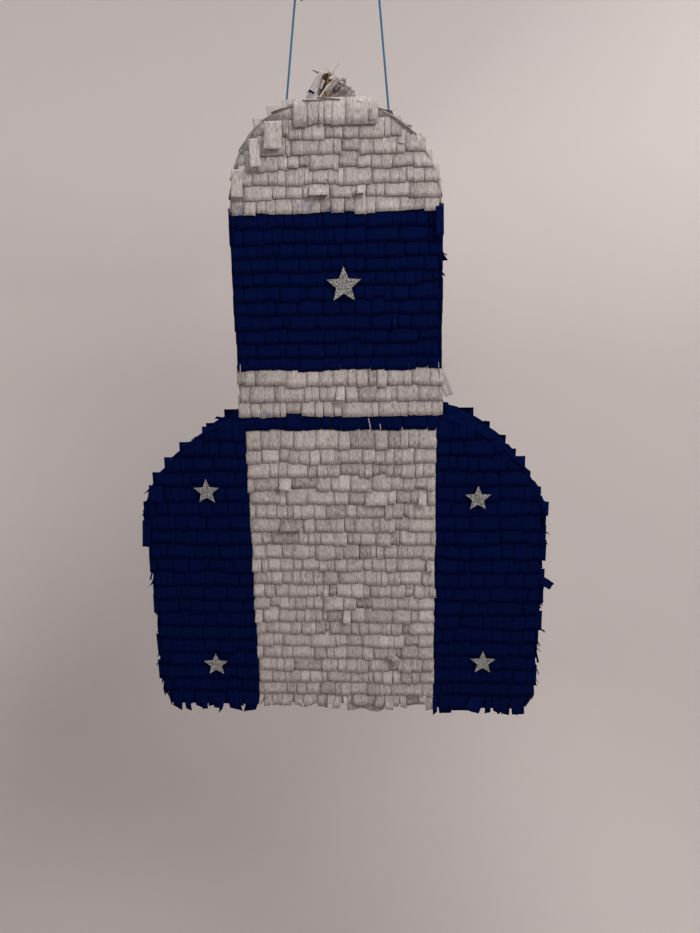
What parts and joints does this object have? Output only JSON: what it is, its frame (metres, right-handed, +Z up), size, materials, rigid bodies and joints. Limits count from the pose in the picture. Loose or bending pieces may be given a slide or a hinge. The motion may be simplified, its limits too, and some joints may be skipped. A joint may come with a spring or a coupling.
{
  "type": "hanging pinata",
  "caption": "Cardboard pinata shaped like a domed tower on a wide shouldered base, covered in fringed crepe paper, with glitter stars, hanging strings and a fill flap on top.",
  "frame": {"origin": "the point that the pinata hangs from: the height of the string loops' bearing points, on the middle plane of the box", "axes": "+Z up along the hanging box, front with the stars faces -Y, +X to the right seen from the front"},
  "size_m": [0.3918, 0.1008, 0.6959],
  "materials": {
    "corrugated_card": "matte",
    "masking_tape": "matte",
    "grey_crepe": "matte",
    "navy_crepe": "matte",
    "silver_glitter": "satin",
    "blue_string": "matte"
  },
  "bodies": {
    "hanging_loops": {"left_hanging_loop": "blue_string", "right_hanging_loop": "blue_string"},
    "strings": {"left_string": "blue_string", "right_string": "blue_string"},
    "pinata": {"front_panel": "corrugated_card", "back_panel": "corrugated_card", "dome_band": "corrugated_card", "left_tower_wall": "corrugated_card", "right_tower_wall": "corrugated_card", "left_shoulder_band": "corrugated_card", "right_shoulder_band": "corrugated_card", "left_side_wall": "corrugated_card", "right_side_wall": "corrugated_card", "base_wall": "corrugated_card", "front_seam_tape": "masking_tape", "back_seam_tape": "masking_tape", "dome_front_fringe": "grey_crepe", "upper_front_fringe": "navy_crepe", "collar_front_fringe": "grey_crepe", "waist_front_fringe": "navy_crepe", "centre_front_fringe": "grey_crepe", "left_wing_front_fringe": "navy_crepe", "right_wing_front_fringe": "navy_crepe", "dome_back_fringe": "grey_crepe", "upper_back_fringe": "navy_crepe", "collar_back_fringe": "grey_crepe", "waist_back_fringe": "navy_crepe", "centre_back_fringe": "grey_crepe", "left_wing_back_fringe": "navy_crepe", "right_wing_back_fringe": "navy_crepe", "dome_edge_fringe": "grey_crepe", "upper_edge_fringe": "navy_crepe", "collar_edge_fringe": "grey_crepe", "left_shoulder_edge_fringe": "navy_crepe", "right_shoulder_edge_fringe": "navy_crepe", "left_side_edge_fringe": "navy_crepe", "right_side_edge_fringe": "navy_crepe", "base_cover": "navy_crepe", "tower_star": "silver_glitter", "upper_left_star": "silver_glitter", "upper_right_star": "silver_glitter", "lower_left_star": "silver_glitter", "lower_right_star": "silver_glitter", "left_string_patch": "masking_tape", "right_string_patch": "masking_tape", "left_inner_knot": "blue_string", "right_inner_knot": "blue_string"},
    "flap": {"fill_flap": "corrugated_card", "fill_flap_crepe": "grey_crepe", "fill_flap_crumple": "grey_crepe"}
  },
  "joints": [
    {"name": "string_swing", "type": "hinge", "parent": "hanging_loops", "child": "strings", "pos_m": [0, 0, -0.0204], "axis": [1, 0, 0], "range_deg": [-60, 60]},
    {"name": "pinata_tilt", "type": "hinge", "parent": "strings", "child": "pinata", "pos_m": [-0.048, 0, -0.11763], "axis": [0.9987, 0, -0.0504], "range_deg": [-35, 35]},
    {"name": "flap_hinge", "type": "hinge", "parent": "pinata", "child": "flap", "pos_m": [-0.012, 0, -0.1125], "axis": [0, -1, 0], "range_deg": [-72, 55]}
  ]
}
